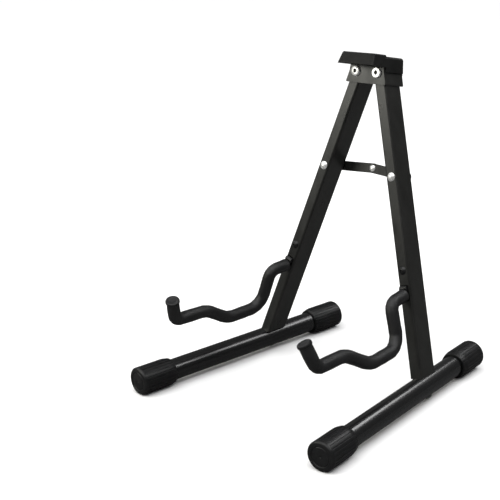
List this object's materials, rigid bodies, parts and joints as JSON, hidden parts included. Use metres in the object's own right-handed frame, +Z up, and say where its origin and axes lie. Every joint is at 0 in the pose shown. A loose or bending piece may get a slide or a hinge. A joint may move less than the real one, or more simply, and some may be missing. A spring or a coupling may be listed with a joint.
{
  "type": "folding guitar stand",
  "caption": "Folding A-frame guitar stand with foam-covered cradle arms, a padded head, a scissor brace and rubber-capped tube feet.",
  "frame": {"origin": "centre of the bounding box at floor level, with the stand open", "axes": "+X to the stand's right-hand leg, +Y to the rear, away from the instrument, +Z up"},
  "size_m": [0.2726, 0.278, 0.3308],
  "materials": {
    "frame_coat": "semi-gloss black powder coat",
    "bright_bolt": "bright zinc plate",
    "zinc": "zinc plate",
    "black_screw": "black oxide",
    "nylon": "natural nylon",
    "head_rubber": "satin moulded rubber",
    "cap_rubber": "satin moulded rubber",
    "foam": "matte closed-cell foam"
  },
  "bodies": {
    "head": {"head_bracket": "frame_coat", "head_pad": "head_rubber", "left_pivot_bolt": "bright_bolt", "right_pivot_bolt": "bright_bolt", "left_pivot_nut": "zinc", "right_pivot_nut": "zinc", "pivot_washers": "nylon"},
    "right_leg": {"right_leg": "frame_coat", "right_foot_tube": "frame_coat", "right_foot_insert": "zinc", "right_foot_bolt": "zinc", "right_front_cap": "cap_rubber", "right_rear_cap": "cap_rubber", "right_brace_rivet": "bright_bolt", "right_arm_hinge": "black_screw", "right_arm_pin": "black_screw", "right_hinge_screw": "black_screw"},
    "left_leg": {"left_leg": "frame_coat", "left_foot_tube": "frame_coat", "left_foot_insert": "zinc", "left_foot_bolt": "zinc", "left_front_cap": "cap_rubber", "left_rear_cap": "cap_rubber", "left_brace_rivet": "bright_bolt", "left_arm_hinge": "black_screw", "left_arm_pin": "black_screw", "left_hinge_screw": "black_screw", "left_brace_spacer": "zinc"},
    "right_link": {"right_brace_link": "frame_coat", "right_centre_rivet": "bright_bolt"},
    "left_link": {"left_brace_link": "frame_coat", "left_centre_rivet": "bright_bolt"},
    "right_arm": {"right_arm_rod": "black_screw", "right_arm_sleeve": "foam", "right_arm_tip": "cap_rubber"},
    "left_arm": {"left_arm_rod": "black_screw", "left_arm_sleeve": "foam", "left_arm_tip": "cap_rubber"}
  },
  "joints": [
    {"name": "left_leg_fold", "type": "hinge", "parent": "head", "child": "left_leg", "pos_m": [-0.0132, 0.09629, 0.30738], "axis": [0, -0.9816, 0.191], "range_deg": [0, 15.8]},
    {"name": "right_leg_fold", "type": "hinge", "parent": "head", "child": "right_leg", "pos_m": [0.0132, 0.09629, 0.30738], "axis": [0, -0.9816, 0.191], "range_deg": [-15.8, 0]},
    {"name": "left_link_fold", "type": "hinge", "parent": "left_leg", "child": "left_link", "pos_m": [-0.04361, 0.09074, 0.20713], "axis": [0, -0.9816, 0.191], "range_deg": [0, 50.01]},
    {"name": "right_link_fold", "type": "hinge", "parent": "right_leg", "child": "right_link", "pos_m": [0.04361, 0.09074, 0.20713], "axis": [0, -0.9816, 0.191], "range_deg": [-50.01, 0]},
    {"name": "left_arm_fold", "type": "hinge", "parent": "left_leg", "child": "left_arm", "pos_m": [-0.07596, 0.04334, 0.10856], "axis": [-0.9563, 0.0558, 0.287], "range_deg": [0, 98]},
    {"name": "right_arm_fold", "type": "hinge", "parent": "right_leg", "child": "right_arm", "pos_m": [0.07596, 0.04334, 0.10856], "axis": [-0.9563, -0.0558, -0.287], "range_deg": [0, 98]}
  ],
  "couplings": [
    {"joint": "right_leg_fold", "follows": "left_leg_fold", "ratio": -1},
    {"joint": "left_link_fold", "follows": "left_leg_fold", "ratio": 3.1641},
    {"joint": "right_link_fold", "follows": "left_leg_fold", "ratio": -3.1641}
  ]
}
